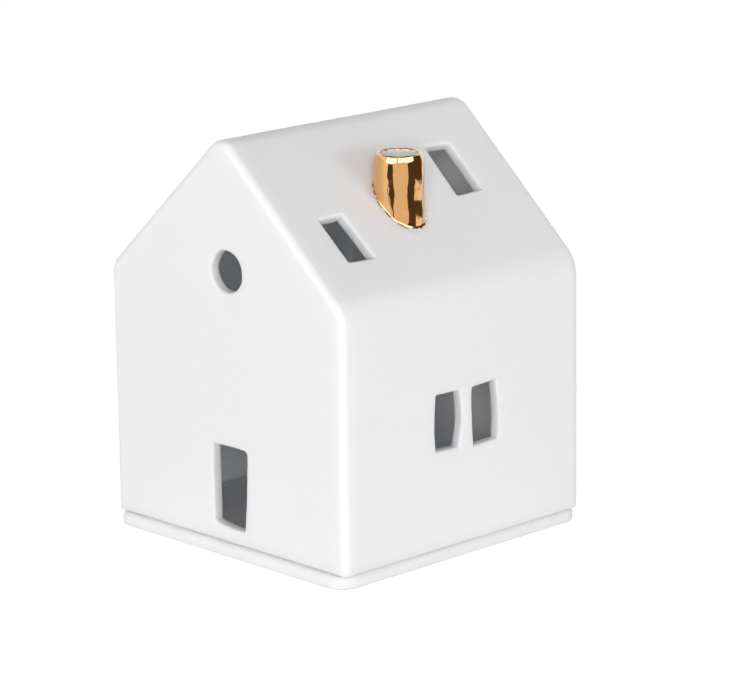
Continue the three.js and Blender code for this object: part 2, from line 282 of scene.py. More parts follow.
def bisque_porcelain(finish):
    """Slip-cast porcelain, sponged, fired white and polished without a glaze. It gives the eye a
    silky matt white with a faint tone from the body, the finest grain and no sharp reflection. The
    real grain is too fine to show, so it is drawn at half a millimetre."""
    material, tree = new_material("slip_cast_bisque_porcelain")
    place = add_node(tree, "TexCoord", {}, {}).outputs["Object"]
    cloud = add_node(tree, "TexNoise", {}, {"Vector": place, "Scale": per_metre(14), "Detail": 3.0})
    tone = add_node(
        tree, "Mix", {"data_type": "RGBA"},
        {"Factor": cloud.outputs["Fac"], "A": finish.bisque, "B": finish.bisque_shade},
    )
    grain = add_node(tree, "TexNoise", {}, {"Vector": place, "Scale": per_metre(0.5), "Detail": 2.0})
    rubbed = add_node(
        tree, "MapRange", {},
        {"Value": cloud.outputs["Fac"], "To Min": 0.35, "To Max": 0.43},
    )
    relief = add_node(
        tree, "Bump", {}, {"Height": grain.outputs["Fac"], "Distance": 0.006 * MM, "Strength": 1.0}
    )
    body = add_node(
        tree, "BsdfPrincipled", {},
        {
            "Base Color": tone.outputs["Result"],
            "Roughness": rubbed.outputs["Result"],
            "IOR": 1.5,
            "Subsurface Weight": 0.7,
            "Subsurface Radius": (0.85, 0.95, 1.0),
            "Subsurface Scale": 4 * MM,
            "Normal": relief.outputs["Normal"],
        },
    )
    add_node(tree, "OutputMaterial", {}, {"Surface": body.outputs["BSDF"]})
    return material


def gold_lustre(finish):
    """Liquid bright gold painted over glaze on the chimney and fired. It gives the eye a warm mirror
    that ends in an uneven painted edge, burnt brown in places, with white porcelain beyond it."""
    material, tree = new_material("gold_lustre_over_glaze")
    place = add_node(tree, "TexCoord", {}, {}).outputs["Object"]
    inward = add_node(tree, "Attribute", {"attribute_name": GILDING}, {}).outputs["Fac"]
    brush = add_node(tree, "TexNoise", {}, {"Vector": place, "Scale": per_metre(1.3), "Detail": 3.0})
    strayed = add_node(
        tree, "Math", {"operation": "MULTIPLY_ADD"}, {0: brush.outputs["Fac"], 1: 1.2, 2: inward}
    )
    gilded = add_node(
        tree, "MapRange", {},
        {"Value": strayed.outputs["Value"], "From Min": 0.58, "From Max": 0.64},
    ).outputs["Result"]
    settled = add_node(
        tree, "MapRange", {},
        {"Value": strayed.outputs["Value"], "From Min": 0.66, "From Max": 0.86},
    ).outputs["Result"]
    spots = add_node(tree, "TexNoise", {}, {"Vector": place, "Scale": per_metre(0.9), "Detail": 2.0})
    burnt = add_node(
        tree, "MapRange", {},
        {"Value": spots.outputs["Fac"], "From Min": 0.5, "From Max": 0.56, "To Min": 1.0, "To Max": 0.0},
    ).outputs["Result"]
    clean = add_node(tree, "Math", {"operation": "MAXIMUM"}, {0: settled, 1: burnt}).outputs["Value"]
    gold = add_node(
        tree, "Mix", {"data_type": "RGBA"}, {"Factor": clean, "A": finish.lustre_edge, "B": finish.lustre}
    )
    tone = add_node(
        tree, "Mix", {"data_type": "RGBA"},
        {"Factor": gilded, "A": finish.bisque, "B": gold.outputs["Result"]},
    )
    gloss = add_node(tree, "MapRange", {}, {"Value": gilded, "To Min": 0.42, "To Max": 0.07})
    peel = add_node(tree, "TexNoise", {}, {"Vector": place, "Scale": per_metre(0.7), "Detail": 2.0})
    relief = add_node(
        tree, "Bump", {}, {"Height": peel.outputs["Fac"], "Distance": 0.01 * MM, "Strength": 1.0}
    )
    body = add_node(
        tree, "BsdfPrincipled", {},
        {
            "Base Color": tone.outputs["Result"],
            "Metallic": gilded,
            "Roughness": gloss.outputs["Result"],
            "Coat Weight": 1.0,
            "Coat Roughness": 0.03,
            "Normal": relief.outputs["Normal"],
        },
    )
    add_node(tree, "OutputMaterial", {}, {"Surface": body.outputs["BSDF"]})
    return material


def pressed_aluminium(finish):
    """Thin aluminium sheet, deep-drawn into a cup. It gives the eye a soft grey shine, streaked
    upright by the press."""
    material, tree = new_material("deep_drawn_aluminium")
    place = add_node(tree, "TexCoord", {}, {}).outputs["Object"]
    drawn = add_node(tree, "Mapping", {}, {"Vector": place, "Scale": (1, 1, 0.08)})
    streaks = add_node(
        tree, "TexNoise", {}, {"Vector": drawn.outputs["Vector"], "Scale": per_metre(0.4), "Detail": 3.0}
    )
    gloss = add_node(
        tree, "MapRange", {}, {"Value": streaks.outputs["Fac"], "To Min": 0.22, "To Max": 0.42}
    )
    relief = add_node(
        tree, "Bump", {}, {"Height": streaks.outputs["Fac"], "Distance": 0.01 * MM, "Strength": 0.6}
    )
    body = add_node(
        tree, "BsdfPrincipled", {},
        {
            "Base Color": finish.aluminium,
            "Metallic": 1.0,
            "Roughness": gloss.outputs["Result"],
            "Normal": relief.outputs["Normal"],
        },
    )
    add_node(tree, "OutputMaterial", {}, {"Surface": body.outputs["BSDF"]})
    return material


def paraffin_wax(finish):
    """Poured paraffin. It gives the eye a milky, slightly see-in white with a soft sheen and a
    crystalline bloom."""
    material, tree = new_material("poured_paraffin_wax")
    place = add_node(tree, "TexCoord", {}, {}).outputs["Object"]
    bloom = add_node(tree, "TexNoise", {}, {"Vector": place, "Scale": per_metre(2.5), "Detail": 4.0})
    gloss = add_node(
        tree, "MapRange", {}, {"Value": bloom.outputs["Fac"], "To Min": 0.3, "To Max": 0.55}
    )
    relief = add_node(
        tree, "Bump", {}, {"Height": bloom.outputs["Fac"], "Distance": 0.04 * MM, "Strength": 0.5}
    )
    body = add_node(
        tree, "BsdfPrincipled", {},
        {
            "Base Color": finish.wax,
            "Roughness": gloss.outputs["Result"],
            "IOR": 1.44,
            "Subsurface Weight": 0.6,
            "Subsurface Radius": (1.0, 0.9, 0.7),
            "Subsurface Scale": 2 * MM,
            "Normal": relief.outputs["Normal"],
        },
    )
    add_node(tree, "OutputMaterial", {}, {"Surface": body.outputs["BSDF"]})
    return material


def waxed_cotton(finish):
    """Braided cotton dipped in wax. It gives the eye an off-white cord with a dull, fibrous skin,
    whose fibres are drawn some ten times too coarse, so that they show."""
    material, tree = new_material("braided_waxed_cotton")
    place = add_node(tree, "TexCoord", {}, {}).outputs["Object"]
    fibres = add_node(tree, "TexNoise", {}, {"Vector": place, "Scale": per_metre(0.15), "Detail": 3.0})
    relief = add_node(
        tree, "Bump", {}, {"Height": fibres.outputs["Fac"], "Distance": 0.03 * MM, "Strength": 0.8}
    )
    body = add_node(
        tree, "BsdfPrincipled", {},
        {"Base Color": finish.cotton, "Roughness": 0.75, "IOR": 1.5, "Normal": relief.outputs["Normal"]},
    )
    add_node(tree, "OutputMaterial", {}, {"Surface": body.outputs["BSDF"]})
    return material


def tinned_steel(finish):
    """Stamped tinplate. It gives the eye a dull grey metal with a fine rolled grain."""
    material, tree = new_material("stamped_tinplate")
    place = add_node(tree, "TexCoord", {}, {}).outputs["Object"]
    rolled = add_node(tree, "Mapping", {}, {"Vector": place, "Scale": (0.1, 1, 1)})
    grain = add_node(
        tree, "TexNoise", {}, {"Vector": rolled.outputs["Vector"], "Scale": per_metre(0.2), "Detail": 2.0}
    )
    gloss = add_node(
        tree, "MapRange", {}, {"Value": grain.outputs["Fac"], "To Min": 0.3, "To Max": 0.5}
    )
    body = add_node(
        tree, "BsdfPrincipled", {},
        {"Base Color": finish.tin, "Metallic": 1.0, "Roughness": gloss.outputs["Result"]},
    )
    add_node(tree, "OutputMaterial", {}, {"Surface": body.outputs["BSDF"]})
    return material


def finish_named(name, make, finish):
    """The finish of that name, made when it is first asked for."""
    return bpy.data.materials.get(name) or make(finish)


# Mesh work shared by the pieces

STIFF_FOOT = 6 * MM  # height above the foot in which the clay could hardly sag
FLAT_FACE_WEIGHT = 80  # over 50, so that large faces count for more in the shading


def only(kind, items):
    """Those of a mesh operator's results that are of one kind."""
    return [item for item in items if isinstance(item, kind)]


def level_out(point):
    """Level direction from the upright axis of a turned piece to a point."""
    return Vector((point.x, point.y, 0)).normalized()


def hump(share):
    """A parabola that is 0 at both ends of a run and 1 in its middle."""
    return 4 * share * (1 - share)


def soften(bm, edges, radius, segments):
    """Rounds sharp edges to a radius."""
    bmesh.ops.bevel(
        bm, geom=edges, offset=radius, offset_type="OFFSET", affect="EDGES", segments=segments,
        profile=0.5, material=-1,
    )


def divide(bm, step):
    """Cuts a mesh along upright and level planes a step apart, so that its faces can bend."""
    for axis in (X_AXIS, Y_AXIS, Z_AXIS):
        along = [v.co.dot(axis) for v in bm.verts]
        low = min(along)
        for index in range(1, int((max(along) - low) / step) + 1):
            bmesh.ops.bisect_plane(
                bm, geom=bm.verts[:] + bm.edges[:] + bm.faces[:], dist=NEAR,
                plane_co=axis * (low + index * step), plane_no=axis,
            )


def slumped(point, shell):
    """Where a point of the house ends up once the soft clay has sagged. The foot stays level."""
    lift = min(max((point.z - FOOT) / STIFF_FOOT, 0), 1)
    sag = noise.noise_vector(point / shell.slump_wave) * shell.slump
    return point + Vector((sag.x, sag.y, sag.z * lift))


def rounded(bm):
    """Merges doubled points and turns all faces outwards."""
    bmesh.ops.remove_doubles(bm, verts=bm.verts, dist=DOUBLED)
    bmesh.ops.recalc_face_normals(bm, faces=bm.faces)
    return bm


def turned(profile, steps):
    """Spins a profile of radius and height about the upright axis through the origin."""
    bm = bmesh.new()
    points = [bm.verts.new((radius, 0, height)) for radius, height in profile]
    for a, b in zip(points, points[1:]):
        bm.edges.new((a, b))
    bmesh.ops.spin(
        bm, geom=bm.verts[:] + bm.edges[:], axis=Z_AXIS, cent=(0, 0, 0), angle=math.tau,
        steps=steps, use_merge=True,
    )
    return rounded(bm)


def new_object(name, bm):
    """Makes a mesh object of bm, shaded smooth, in the scene."""
    mesh = bpy.data.meshes.new(name)
    bm.to_mesh(mesh)
    bm.free()
    mesh.shade_smooth()
    made = bpy.data.objects.new(name, mesh)
    bpy.context.scene.collection.objects.link(made)
    return made


def new_piece(name, bm, material, body, slot, *nodes):
    """Makes bm a finished piece that rides on a body and stands for nodes of the frame."""
    piece = new_object(name, bm)
    piece.data.materials.append(material)
    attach(piece, body)
    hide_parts(*nodes)
    return piece


def even_shading(piece):
    """Lets the flat faces of a piece set the shading where its roundings begin."""
    piece.modifiers.new("even_shading", "WEIGHTED_NORMAL").weight = FLAT_FACE_WEIGHT


def carve(block, cutters):
    """Cuts every cutter out of a block and gives the rest as a bmesh."""
    for cutter in cutters:
        cut = block.modifiers.new(cutter.name, "BOOLEAN")
        cut.operation = "DIFFERENCE"
        cut.solver = "EXACT"
        cut.object = cutter
    bm = bmesh.new()
    bm.from_object(block, bpy.context.evaluated_depsgraph_get())
    for used in (block, *cutters):
        bpy.data.objects.remove(used)
    return bm


# House shell

BELOW_FOOT = 12 * MM  # how far the house's form reaches below its foot before it is cut off
ROUND_SEGMENTS = 10
ARRIS_SEGMENTS = 5
INNER_ARRIS_SEGMENTS = 3
LEAST_RADIUS = 1 * MM  # a smaller rounding inside would have steps as short as SLIVER
LEAST_BEND = 2 * MM  # the hollow's eaves and ridge are rounded to at least this radius
ROUND_CUT_STEPS = 48
KNIFE_WAVE = 3 * MM  # length of the waves in a hand-cut edge
ROUND_WOBBLE = 1.5  # how much more the knife strays on a curve than on a straight line
SHARP = math.radians(50)  # faces that meet at more than this have a sharp edge
ARRIS_MARGIN = 1 * MM  # how far outside its corners an opening's edges are looked for


def ridge_line(shell):
    """Height of the sharp ridge, where the two roof faces would meet."""
    return FOOT + shell.eave_height + HALF_WIDTH * math.tan(shell.roof_pitch)


def face_frame(shell, face):
    """Matrix from a face's own across, up and out to the model."""
    pitch = shell.roof_pitch
    up_slope = Vector((-math.cos(pitch), 0, math.sin(pitch)))
    across, up, origin = {
        "gable": (X_AXIS, Z_AXIS, Vector((0, shell.front_set_back - HALF_DEPTH, FOOT))),
        "side": (Y_AXIS, Z_AXIS, Vector((HALF_WIDTH, 0, FOOT))),
        "roof": (Y_AXIS, up_slope, Vector((0, 0, ridge_line(shell)))),
    }[face]
    rotation = Matrix((across, up, across.cross(up))).transposed().to_4x4()
    return Matrix.Translation(origin) @ rotation


def house_form(shell, inset):
    """The house's outer form, or its hollow when it is drawn in by the wall."""
    pitch = shell.roof_pitch
    half_width = HALF_WIDTH - inset
    front = -HALF_DEPTH + shell.front_set_back + inset
    back = HALF_DEPTH - inset
    eave = FOOT + shell.eave_height - inset / math.cos(pitch) + inset * math.tan(pitch)
    ridge = eave + half_width * math.tan(pitch)
    low = FOOT - BELOW_FOOT - inset
    outline = ((-half_width, low), (half_width, low), (half_width, eave), (0, ridge), (-half_width, eave))
    bm = bmesh.new()
    gable = bm.faces.new([bm.verts.new((x, front, z)) for x, z in outline])
    far = only(BMVert, bmesh.ops.extrude_face_region(bm, geom=[gable])["geom"])
    bmesh.ops.translate(bm, verts=far, vec=(0, back - front, 0))
    bmesh.ops.recalc_face_normals(bm, faces=bm.faces)
    rounds = (
        (half_width, eave, shell.chimney_side_eave_radius),
        (0, ridge, shell.ridge_radius),
        (-half_width, eave, shell.plain_side_eave_radius),
    )
    for x, z, radius in rounds:
        line = [e for e in bm.edges if all(math.dist((v.co.x, v.co.z), (x, z)) < NEAR for v in e.verts)]
        turn = line[0].calc_face_angle()
        soften(bm, line, max(radius - inset, LEAST_BEND) * math.tan(turn / 2), ROUND_SEGMENTS)
    for y, radius in ((front, shell.front_edge_radius), (back, shell.back_edge_radius)):
        rim = [e for e in bm.edges if all(abs(v.co.y - y) < NEAR for v in e.verts)]
        soften(bm, rim, max(radius - inset, LEAST_RADIUS), ROUND_SEGMENTS)
    return new_object("house_form", rounded(bm))


def prism(name, bm, reach, matrix):
    """Makes the flat faces of bm a cutter that reaches as far on both sides of them."""
    far = only(BMVert, bmesh.ops.extrude_face_region(bm, geom=bm.faces[:])["geom"])
    bmesh.ops.translate(bm, verts=far, vec=(0, 0, 2 * reach))
    bmesh.ops.translate(bm, verts=bm.verts, vec=(0, 0, -reach))
    bmesh.ops.transform(bm, matrix=matrix, verts=bm.verts)
    bmesh.ops.recalc_face_normals(bm, faces=bm.faces)
    return new_object(name, bm)


def wobbled(bm, amount, seed):
    """Moves the points of a flat outline about, as a knife held by hand strays."""
    for v in bm.verts:
        stray = noise.noise_vector(v.co / KNIFE_WAVE + Vector((seed, 0, 0))) * amount
        v.co += Vector((stray.x, stray.y, 0))


def hand_cut(shell, name, opening, seed):
    """Cutter for an opening with straight or bowed sides."""
    bm = bmesh.new()
    points = [Vector((across, up, 0)) * MM for across, up, _ in opening.corners]
    tips = [bm.verts.new(point) for point in points]
    bm.faces.new(tips)
    for tip, (_, _, radius) in zip(tips, opening.corners):
        bmesh.ops.bevel(
            bm, geom=[tip], offset=radius * MM, offset_type="OFFSET", affect="VERTICES",
            segments=CORNER_STEPS, profile=0.5, material=-1,
        )
    runs = list(zip(points, points[1:] + points[:1], opening.bows))
    longest_first = sorted(bm.edges, key=lambda edge: -edge.calc_length())
    for side in longest_first[:len(points)]:
        start, end = [v.co.copy() for v in side.verts]
        a, b, bow = min(runs, key=lambda run: (run[0] + run[1] - start - end).length)
        outward = (b - a).cross(Z_AXIS).normalized()
        cut = bmesh.ops.subdivide_edges(bm, edges=[side], cuts=SIDE_CUTS)["geom_inner"]
        for v in only(BMVert, cut):
            v.co += outward * bow * MM * hump((v.co - start).length / (end - start).length)
    wobbled(bm, shell.knife_wobble, seed)
    return prism(name, bm, 2 * shell.wall, face_frame(shell, opening.face))


def round_cut(shell, seed):
    """Cutter for the round window."""
    bm = bmesh.new()
    bmesh.ops.create_circle(bm, cap_ends=True, segments=ROUND_CUT_STEPS, radius=0.5)
    size = (shell.round_window_width, shell.round_window_height, 1)
    bmesh.ops.scale(bm, vec=size, verts=bm.verts)
    middle = (shell.round_window_across, shell.round_window_above, 0)
    bmesh.ops.translate(bm, vec=middle, verts=bm.verts)
    wobbled(bm, ROUND_WOBBLE * shell.knife_wobble, seed)
    return prism("round_window", bm, 2 * shell.wall, face_frame(shell, "gable"))


def flue_cut(chimney):
    """Cutter for the flue, which goes on from the chimney's bore through the roof."""
    bm = bmesh.new()
    radius = chimney.bore_diameter / 2
    bmesh.ops.create_circle(bm, cap_ends=True, segments=ROUND_CUT_STEPS, radius=radius)
    return prism("flue", bm, HALF_WIDTH, Matrix.Translation(CHIMNEY_AXIS))


def foot_cut():
    """Cutter for all that the house's form has below its foot."""
    bm = bmesh.new()
    bmesh.ops.create_grid(bm, x_segments=1, y_segments=1, size=2 * HALF_WIDTH)
    reach = 2 * BELOW_FOOT
    return prism("below_foot", bm, reach, Matrix.Translation((0, 0, FOOT - reach)))


def sharp_edges(bm):
    """Edges where two faces meet at a sharp angle."""
    return [e for e in bm.edges if len(e.link_faces) == 2 and e.calc_face_angle() > SHARP]


def arris_edges(bm, shell, face, low, high):
    """Sharp edges that lie in a face of the house, round a box in that face's own frame."""
    to_face = face_frame(shell, face).inverted()
    found = []
    for edge in sharp_edges(bm):
        ends = [to_face @ v.co for v in edge.verts]
        in_face = all(abs(end.z) < NEAR for end in ends)
        if in_face and all(
            low[i] - ARRIS_MARGIN < end[i] < high[i] + ARRIS_MARGIN for end in ends for i in (0, 1)
        ):
            found.append(edge)
    return found


def soften_openings(bm, shell):
    """Rounds the outer arris of each opening, the foot's outer edge and then all other cut edges."""
    for opening in OPENINGS.values():
        low, high = [
            [pick(corner[i] for corner in opening.corners) * MM for i in (0, 1)] for pick in (min, max)
        ]
        edges = arris_edges(bm, shell, opening.face, low, high)
        soften(bm, edges, opening.arris * MM, ARRIS_SEGMENTS)
    middle = (shell.round_window_across, shell.round_window_above)
    half = (shell.round_window_width / 2, shell.round_window_height / 2)
    low, high = [[middle[i] + side * half[i] for i in (0, 1)] for side in (-1, 1)]
    edges = arris_edges(bm, shell, "gable", low, high)
    soften(bm, edges, shell.round_window_arris, ARRIS_SEGMENTS)
    mid_wall = HALF_WIDTH - shell.wall / 2
    on_foot = [e for e in sharp_edges(bm) if all(abs(v.co.z - FOOT) < NEAR for v in e.verts)]
    outer_foot = [e for e in on_foot if all(max(abs(v.co.x), abs(v.co.y)) > mid_wall for v in e.verts)]
    soften(bm, outer_foot, shell.foot_arris_radius, ARRIS_SEGMENTS)
    soften(bm, sharp_edges(bm), shell.inner_arris_radius, INNER_ARRIS_SEGMENTS)


def house_mesh(shell, chimney):
    """The hollow house with its openings."""
    hollow = house_form(shell, shell.wall)
    cutters = [hollow, foot_cut(), flue_cut(chimney), round_cut(shell, seed=7)]
    for seed, (name, opening) in enumerate(OPENINGS.items()):
        cutters.append(hand_cut(shell, name, opening, seed))
    bm = carve(house_form(shell, 0), cutters)
    bmesh.ops.remove_doubles(bm, verts=bm.verts, dist=SLIVER)
    soften_openings(bm, shell)
    divide(bm, shell.cell)
    for v in bm.verts:
        v.co = slumped(v.co, shell)
    return bm


# Chimney

GILDING = "gilding"  # how far in millimetres a point lies inside the lustre's painted edge
BODY_RINGS = 60
SHOULDER_STEPS = 14
BORE_RINGS = 20
LIP_STEPS = 12
FILLET_STEPS = 8
DENT_WAVE = 3 * MM  # length of the waves that rolling left in the tube
RIPPLE_WAVE = 1.1 * MM  # length of the fine waves under the lustre


def chimney_profile(chimney, shell):
    """Points round the tube's wall as if the roof were level: distance from the axis and height."""
    body = chimney.diameter / 2
    rim = chimney.rim_diameter / 2
    bore = chimney.bore_diameter / 2
    lean = math.atan2(2 * (body - rim), chimney.shoulder)  # of the parabola that draws in the tube
    lip = (rim - bore) / (1 + math.cos(lean))
    lip_height = chimney.rise - lip
    neck = lip_height + lip * math.sin(lean)
    low = neck - chimney.shoulder
    depth = shell.wall / math.cos(shell.roof_pitch)
    toe = [
        (body + chimney.fillet_width * (1 - math.sin(turn)), chimney.fillet_height * (1 - math.cos(turn)))
        for turn in (math.pi / 2 * step / FILLET_STEPS for step in range(FILLET_STEPS))
    ]
    fillet = chimney.fillet_height
    rise = [(body, fillet + (low - fillet) * ring / BODY_RINGS) for ring in range(BODY_RINGS)]
    shares = [step / SHOULDER_STEPS for step in range(SHOULDER_STEPS)]
    drawn_in = [(body - (body - rim) * share ** 2, low + chimney.shoulder * share) for share in shares]
    turns = [lean + (math.pi - lean) * step / LIP_STEPS for step in range(LIP_STEPS + 1)]
    rounded_lip = [(bore + lip + lip * math.cos(turn), lip_height + lip * math.sin(turn)) for turn in turns]
    step_down = (lip_height + depth) / BORE_RINGS
    inside = [(bore, lip_height - step_down * ring) for ring in range(1, BORE_RINGS + 1)]
    return toe + rise + drawn_in + rounded_lip + inside


def chimney_mesh(chimney, shell):
    """The tube, its rounded rim and the fillet of slip that joins it to the roof."""
    bm = turned(chimney_profile(chimney, shell), chimney.sides)
    gilding = bm.verts.layers.float.new(GILDING)
    level = chimney.rise - chimney.shoulder - chimney.fillet_height
    mid_wall = (chimney.rim_diameter + chimney.bore_diameter) / 4
    roof = ridge_line(shell) - CHIMNEY_AXIS.x * math.tan(shell.roof_pitch)
    for v in bm.verts:
        radius, height = v.co.xy.length, v.co.z
        outside = radius > mid_wall
        edge = height - chimney.gilding_edge if outside else height - chimney.rise + chimney.gilding_inside
        v[gilding] = edge / MM
        tilted = 1 - min(max((height - chimney.fillet_height) / level, 0), 1)
        slope = -v.co.x * math.tan(shell.roof_pitch) * tilted
        if outside:
            dent = noise.noise(v.co / DENT_WAVE) * chimney.dent
            ripple = noise.noise(v.co / RIPPLE_WAVE) * chimney.ripple
            firm = min(height / chimney.fillet_height, 1)
            v.co += level_out(v.co) * (dent + ripple) * firm
        v.co.z += slope
        v.co = slumped(v.co + Vector((CHIMNEY_AXIS.x, CHIMNEY_AXIS.y, roof)), shell)
    return bm


# Plate

PLATE_CORNER_SEGMENTS = 14
PLATE_EDGE_SEGMENTS = 8
SPONGE_WAVE = 16 * MM  # length of the waves in the plate's sponged edge


def plate_mesh(plate):
    """A square slab with rounded corners and a rounded edge."""
    bm = bmesh.new()
    bmesh.ops.create_cube(bm, size=1)
    size = PLATE_HIGH - PLATE_LOW
    bmesh.ops.scale(bm, vec=size, verts=bm.verts)
    bmesh.ops.translate(bm, vec=(PLATE_LOW + PLATE_HIGH) / 2, verts=bm.verts)
    upright = [e for e in bm.edges if abs(e.verts[0].co.z - e.verts[1].co.z) > size.z / 2]
    soften(bm, upright, plate.corner_radius, PLATE_CORNER_SEGMENTS)
    for level, radius in ((PLATE_HIGH.z, plate.upper_radius), (PLATE_LOW.z, plate.lower_radius)):
        rim = [e for e in bm.edges if all(abs(v.co.z - level) < NEAR for v in e.verts)]
        soften(bm, rim, radius, PLATE_EDGE_SEGMENTS)
    divide(bm, plate.cell)
    for v in bm.verts:
        stray = noise.noise_vector(v.co / SPONGE_WAVE) * plate.waver
        v.co += Vector((stray.x, stray.y, 0)) * (v.co.xy.length / size.x)
    return rounded(bm)


# Tealight

ARC_STEPS = 8
CUP_SIDE_STEPS = 12
WAX_STEPS = 40
WAX_SIDES = 128
CLIMB_REACH = 1 * MM  # how far from the cup the wax climbs
SINK_REACH = 3 * MM  # how far round the wick the wax sinks
STRAND_SIDES = 12
BRAID_DEPTH = 0.2  # depth of the grooves between strands, as a share of the wick's radius
WICK_STEPS = 72


def arc(middle, radius, start, end):
    """Points of an arc in a profile, between two angles in quarter turns."""
    shares = [step / ARC_STEPS for step in range(ARC_STEPS + 1)]
    angles = [(start + (end - start) * share) * math.pi / 2 for share in shares]
    return [(middle[0] + radius * math.cos(a), middle[1] + radius * math.sin(a)) for a in angles]


def cup_mesh(tealight):
    """The pressed cup, with a rolled rim and fine pleats in its side."""
    bead = tealight.bead_radius
    side = CUP_HIGH.x - bead
    foot = tealight.cup_foot_radius
    wall = tealight.cup_wall
    low, high = CUP_LOW.z, CUP_HIGH.z
    shares = [step / CUP_SIDE_STEPS for step in range(CUP_SIDE_STEPS)]
    outer_side = [(side, low + foot + (high - low - foot - 2 * bead) * share) for share in shares[1:]]
    inner_side = [(side - wall, high - bead - (high - low - foot - bead) * share) for share in shares]
    profile = (
        [(0, low)]
        + arc((side - foot, low + foot), foot, -1, 0)
        + outer_side
        + arc((side, high - bead), bead, -1, 1)
        + inner_side
        + arc((side - foot, low + foot), foot - wall, 0, -1)
        + [(0, low + wall)]
    )
    bm = turned(profile, 4 * tealight.pleats)
    for v in bm.verts:
        rise = (v.co.z - low) / (high - low)
        firm = max(0, hump(rise)) if v.co.xy.length > side - 2 * wall else 0
        swing = math.cos(tealight.pleats * math.atan2(v.co.y, v.co.x))
        v.co -= level_out(v.co) * tealight.pleat_depth * firm * (1 + swing) / 2
    return bm


def wax_mesh(tealight):
    """The wax, which climbs at the cup's wall and sinks a little round the wick."""
    radius = WAX_HIGH.x
    wick = WICK_HIGH.x
    low, high = WAX_LOW.z, WAX_HIGH.z
    foot = tealight.cup_foot_radius
    surface = [(radius, high)]
    for step in range(1, WAX_STEPS + 1):
        at = radius + (wick - radius) * step / WAX_STEPS
        climb = math.exp(-(radius - at) / CLIMB_REACH) / 2
        sink = math.exp(-(at - wick) / SINK_REACH)
        surface.append((at, high - tealight.meniscus * (1 - climb + sink) / 2))
    side = arc((radius - foot, low + foot), foot, -1, 0)
    return turned([(0, low)] + side + surface + [(0, surface[-1][1])], WAX_SIDES)


def wick_mesh(tealight):
    """The wick: strands braided round each other, drawn as a lobed cord that turns as it climbs."""
    radius = WICK_HIGH.x
    lobes = tealight.strands
    bm = bmesh.new()
    bmesh.ops.create_circle(bm, cap_ends=True, segments=STRAND_SIDES * lobes, radius=radius)
    for v in bm.verts:
        crown = abs(math.cos(lobes * math.atan2(v.co.y, v.co.x) / 2))
        v.co *= 1 - BRAID_DEPTH + BRAID_DEPTH * crown
    bmesh.ops.translate(bm, vec=(0, 0, WICK_LOW.z), verts=bm.verts)
    rise = (WICK_HIGH.z - WICK_LOW.z) / WICK_STEPS
    turn = math.tau * rise / tealight.braid_turn
    tip = bm.faces[:]
    for _ in range(WICK_STEPS):
        grown = bmesh.ops.extrude_face_region(bm, geom=tip)["geom"]
        ring = only(BMVert, grown)
        tip = only(BMFace, grown)
        bmesh.ops.translate(bm, vec=(0, 0, rise), verts=ring)
        bmesh.ops.rotate(bm, cent=(0, 0, 0), matrix=Matrix.Rotation(turn, 3, "Z"), verts=ring)
    return rounded(bm)


# Stage

CAMERA_AIM = Vector((4.26, 3.11, 44.08)) * MM  # beside the house's middle, as the photograph frames it
SENSOR_WIDTH = 36  # millimetres
CLIP_START, CLIP_END = 0.01, 20
LAMP_TARGET = Vector((0, 0, 50)) * MM
LAMP_DISTANCE = 2.0
FLOOR_HALF_WIDTH = 6
FLOOR_GAP = 0.02 * MM  # keeps the floor clear of the plate's underside

# The lamps: azimuth and elevation in degrees, width and height in metres.
Softbox = namedtuple("Softbox", "azimuth elevation width height")
LEFT_SOFTBOX = Softbox(-15, 3, 0.9, 0.4)
RIGHT_SOFTBOX = Softbox(105, 3, 0.9, 0.4)
FRONT_SOFTBOX = Softbox(46, 12, 0.8, 0.8)

# What the gold reflects. A card is curved round the chimney at a distance, from one azimuth to
# another and from one height to another, in metres and degrees.
CARD_STEPS = 24
CARD_SHADES = {
    "dark_card": ("#504538", 1.0),
    "cool_card": ("#E3EEFF", 1.2),
    "rosy_card": ("#F9F4FF", 1.05),
    "grey_card": ("#ECE7EF", 1.0),
    "bright_card": ("#E2EEFF", 4.2),
}
Card = namedtuple("Card", "shade distance start end low high")
CARDS = {
    "left_flag": Card("dark_card", 0.3, -8, 19.6, 0, 0.1),
    "middle_card": Card("grey_card", 0.3, 19.6, 84, 0, 0.13),
    "right_flag": Card("dark_card", 0.3, 84, 118, 0, 0.13),
    "high_right_flag": Card("dark_card", 0.3, 118, 170, 0.021, 0.25),
    "left_reflector": Card("cool_card", 0.3, -134, -8, 0, 0.035),
    "right_reflector": Card("rosy_card", 0.3, 118, 226, 0, 0.021),
    "left_window": Card("bright_card", 0.5, -20, 39, 0.17, 0.4),
    "right_window": Card("bright_card", 0.5, 51, 118, 0.19, 0.4),
    "top_flag": Card("dark_card", 0.12, 0, 360, 0.2, 0.5),
}


def toward(azimuth, elevation):
    """Direction out from the object. Azimuth 0 is -Y, and 90 degrees is +X."""
    level = math.cos(elevation)
    return Vector((math.sin(azimuth) * level, -math.cos(azimuth) * level, math.sin(elevation)))


def add_camera(stage):
    """The camera, at the photograph's viewing angle."""
    data = bpy.data.cameras.new("camera")
    data.lens = stage.lens
    data.sensor_width = SENSOR_WIDTH
    data.clip_start = CLIP_START
    data.clip_end = CLIP_END
    camera = bpy.data.objects.new("camera", data)
    back = toward(stage.azimuth, stage.elevation)
    camera.location = CAMERA_AIM + back * stage.distance
    camera.rotation_mode = "QUATERNION"
    camera.rotation_quaternion = (-back).to_track_quat("-Z", "Y") @ Quaternion((0, 0, 1), stage.roll)
    bpy.context.scene.collection.objects.link(camera)
    bpy.context.scene.camera = camera


